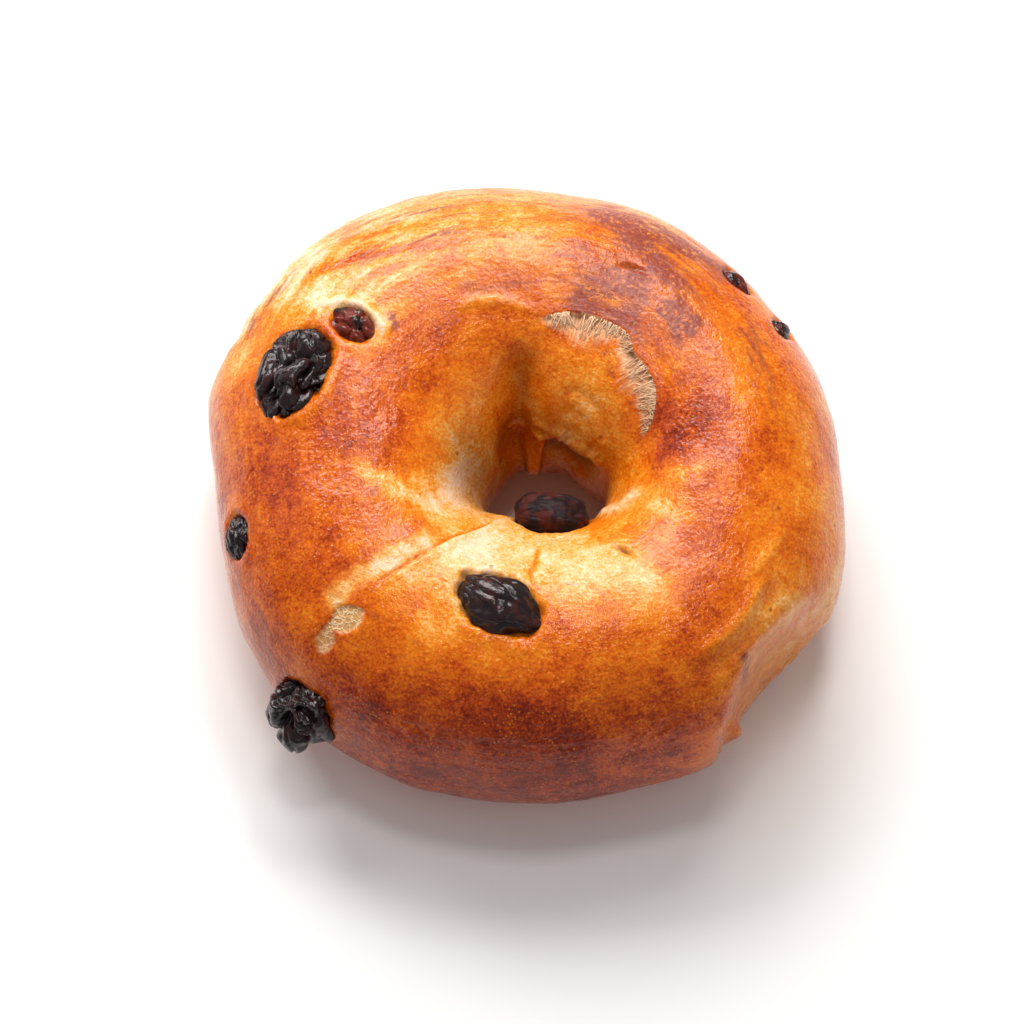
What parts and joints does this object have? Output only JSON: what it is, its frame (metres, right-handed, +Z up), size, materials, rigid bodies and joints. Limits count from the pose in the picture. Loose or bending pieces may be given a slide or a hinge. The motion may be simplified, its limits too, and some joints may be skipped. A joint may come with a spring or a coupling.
{
  "type": "bagel",
  "caption": "Round cinnamon raisin bagel: a glossy golden-brown ring of dough with a small irregular hole, a flat base and dark raisins set in the crust.",
  "frame": {"origin": "centre of the bounding box, on the flat base the bagel rests on", "axes": "+Z up out of the crown, -Y towards the viewer, +X to the viewer's right"},
  "size_m": [0.106, 0.108, 0.0418],
  "materials": {
    "crust": "boiled and baked bread crust, golden to deep brown, semi-gloss",
    "raisin": "wrinkled dried grape skin, nearly black, slightly shiny"
  },
  "bodies": {
    "root": {"bagel_dough": "crust", "raisin_upper_left": "raisin", "raisin_upper_left_small": "raisin", "raisin_left_side": "raisin", "raisin_lower_left": "raisin", "raisin_front_inner": "raisin", "raisin_in_hole": "raisin", "raisin_right_edge": "raisin", "raisin_right_rim": "raisin", "raisin_back_side": "raisin", "raisin_right_side": "raisin", "raisin_back_right": "raisin", "raisin_base_left": "raisin", "raisin_base_front": "raisin"}
  },
  "joints": []
}
